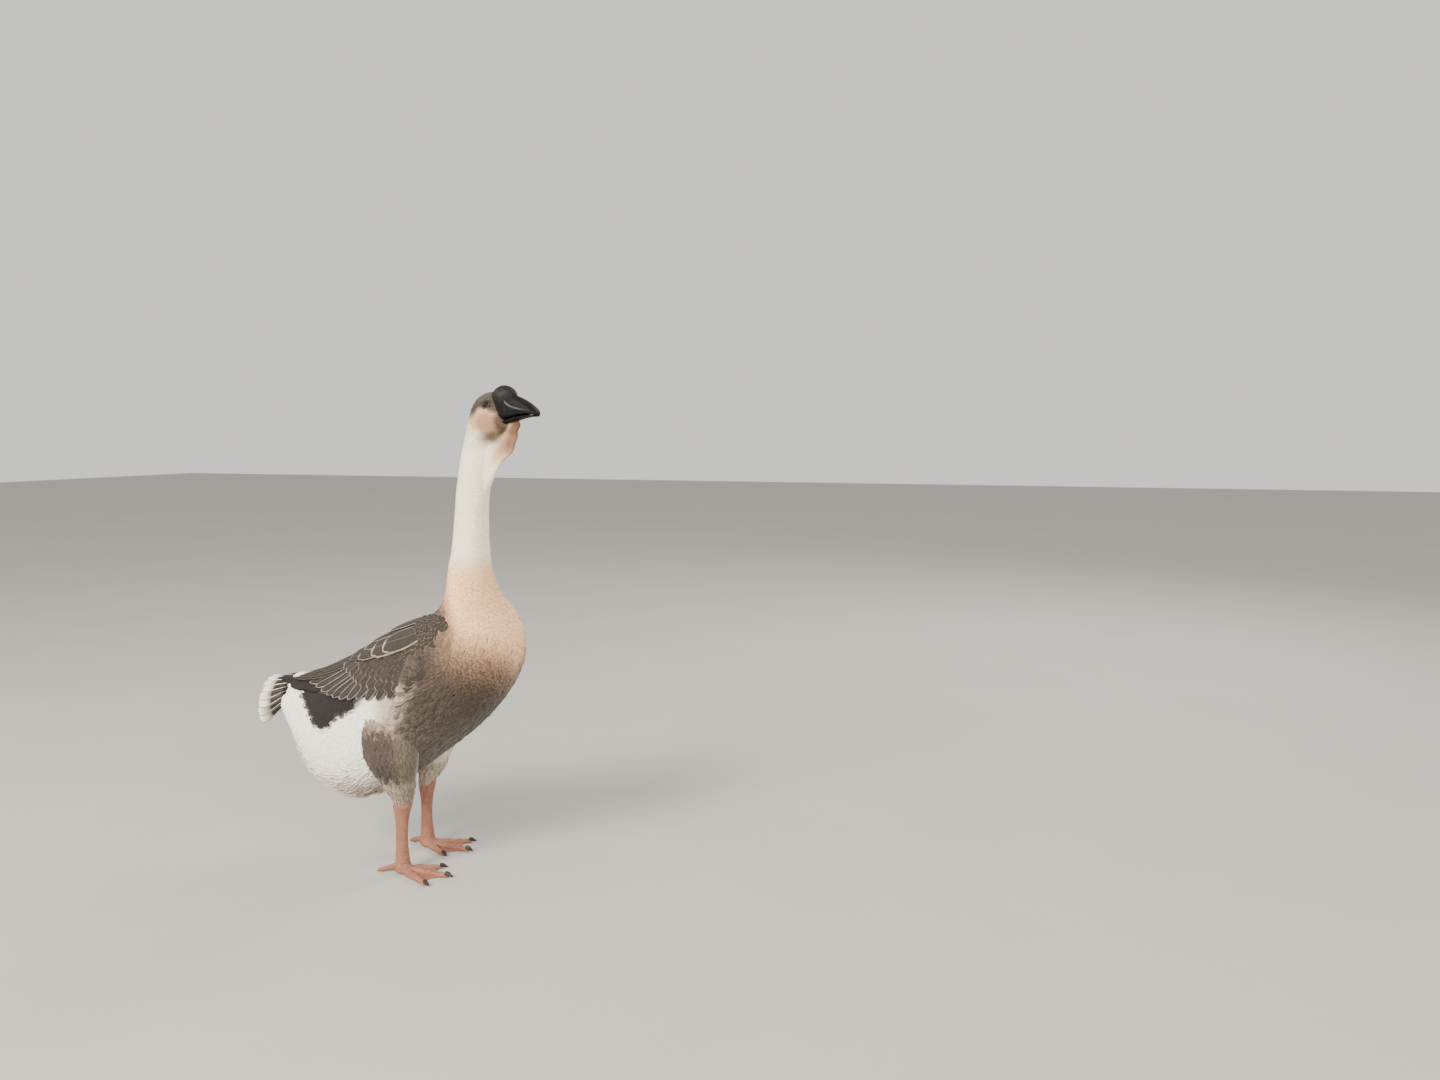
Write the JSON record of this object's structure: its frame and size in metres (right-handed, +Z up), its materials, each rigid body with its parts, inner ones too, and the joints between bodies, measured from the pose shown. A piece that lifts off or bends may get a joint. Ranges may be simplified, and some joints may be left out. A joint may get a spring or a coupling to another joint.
{
  "type": "knob goose figure",
  "caption": "Life-size still model of a standing grey knob goose with its neck stretched up, folded wings and webbed feet, for display on a level surface.",
  "frame": {"origin": "bottom centre of the whole goose's bounding box, on the floor under its feet", "axes": "+X forward, the way the goose faces, +Y to its left, +Z up"},
  "size_m": [0.578, 0.2228, 0.859],
  "materials": {
    "breast_plumage": "soft matt contour feathers",
    "neck_plumage": "soft matt short feathers",
    "face_plumage": "soft matt velvety feathers and bare chin skin",
    "wing_plumage": "firm satin vanes with pale edges",
    "tail_plumage": "firm matt vanes",
    "thigh_plumage": "soft matt contour feathers",
    "bill": "smooth horn with a soft sheen",
    "eye": "wet and glossy",
    "leg_skin": "scaly skin with a faint sheen"
  },
  "bodies": {
    "root": {"torso": "breast_plumage", "neck": "neck_plumage", "head": "face_plumage", "bill_upper": "bill", "bill_lower": "bill", "knob": "bill", "eye_left": "eye", "eye_right": "eye", "wing_left": "wing_plumage", "wing_right": "wing_plumage", "tail": "tail_plumage", "thigh_left": "thigh_plumage", "thigh_right": "thigh_plumage", "shank_left": "leg_skin", "shank_right": "leg_skin", "foot_left": "leg_skin", "foot_right": "leg_skin"}
  },
  "joints": []
}
